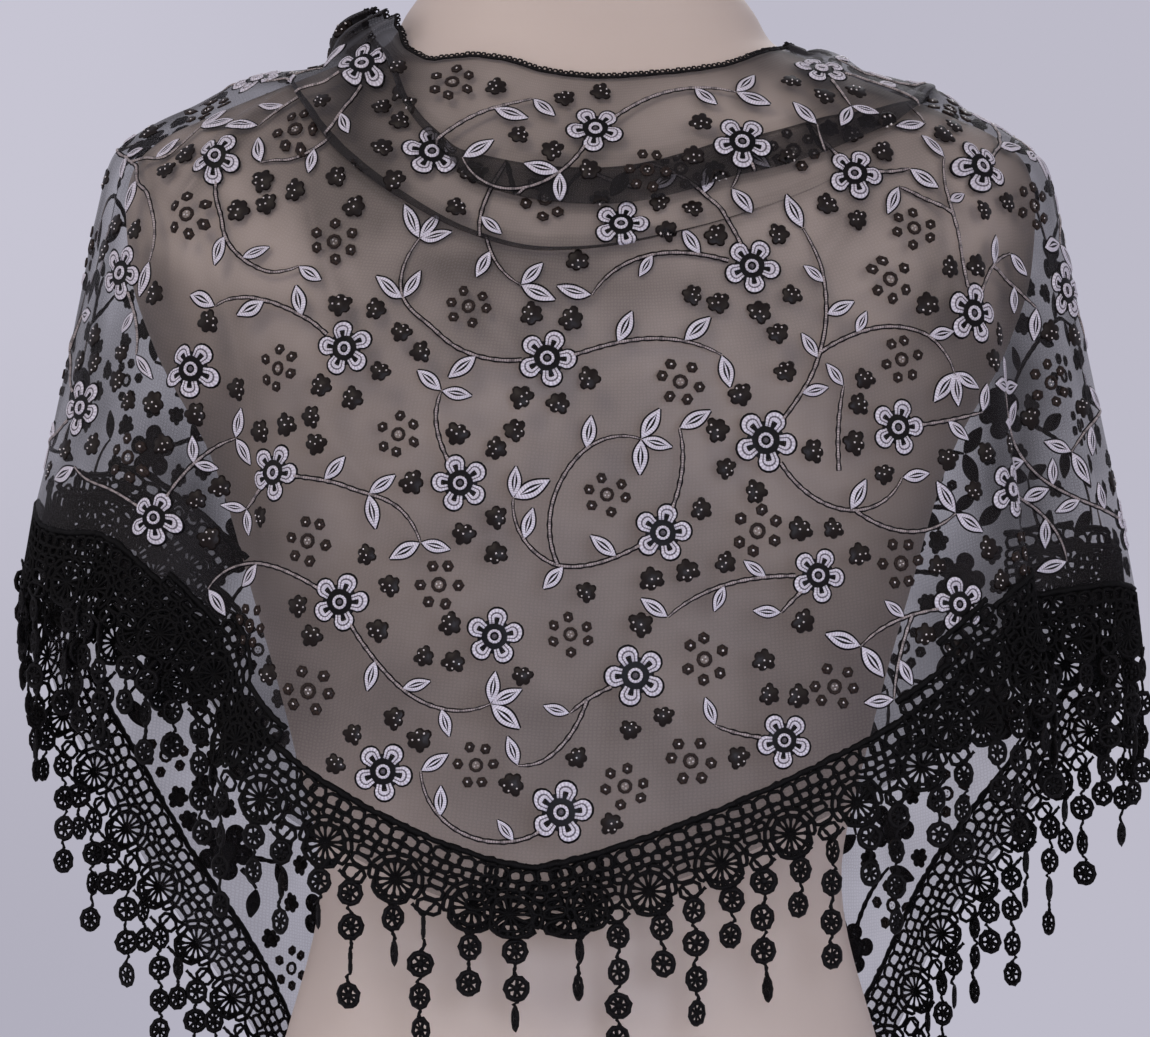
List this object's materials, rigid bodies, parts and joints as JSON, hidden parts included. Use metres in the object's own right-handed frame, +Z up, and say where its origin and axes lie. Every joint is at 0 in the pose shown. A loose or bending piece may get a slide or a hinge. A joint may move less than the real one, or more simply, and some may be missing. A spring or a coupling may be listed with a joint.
{
  "type": "chapel veil on dress form",
  "caption": "Sheer black embroidered triangle veil with a lace border and drop fringe, draped over the shoulders of a limbless dress form.",
  "frame": {"origin": "centre of the dress form's flat foot, on the floor", "axes": "+Z up; the form's back and the veil's point face -Y; the form's front and the veil's tails face +Y; +X is to the right seen from behind the form"},
  "size_m": [0.5163, 0.279, 0.748],
  "materials": {
    "form": "smooth cream shell, satin",
    "net": "fine sheer black net with white, grey and black embroidery",
    "lace": "crocheted black cotton lace, open",
    "fringe": "strings of small black crocheted medallions"
  },
  "bodies": {
    "root": {"dress_form": "form", "cowl_upper": "net", "cowl_lower": "net", "back_panel": "net", "shoulder_left": "net", "tail_left": "net", "lace_back_left": "lace", "lace_side_left": "lace", "lace_tail_left": "lace", "fringe_back_left": "fringe", "fringe_side_left": "fringe", "fringe_tail_left": "fringe", "edging_tail_left": "lace", "shoulder_right": "net", "tail_right": "net", "lace_back_right": "lace", "lace_side_right": "lace", "lace_tail_right": "lace", "fringe_back_right": "fringe", "fringe_side_right": "fringe", "fringe_tail_right": "fringe", "edging_tail_right": "lace", "edging_nape": "lace"}
  },
  "joints": []
}
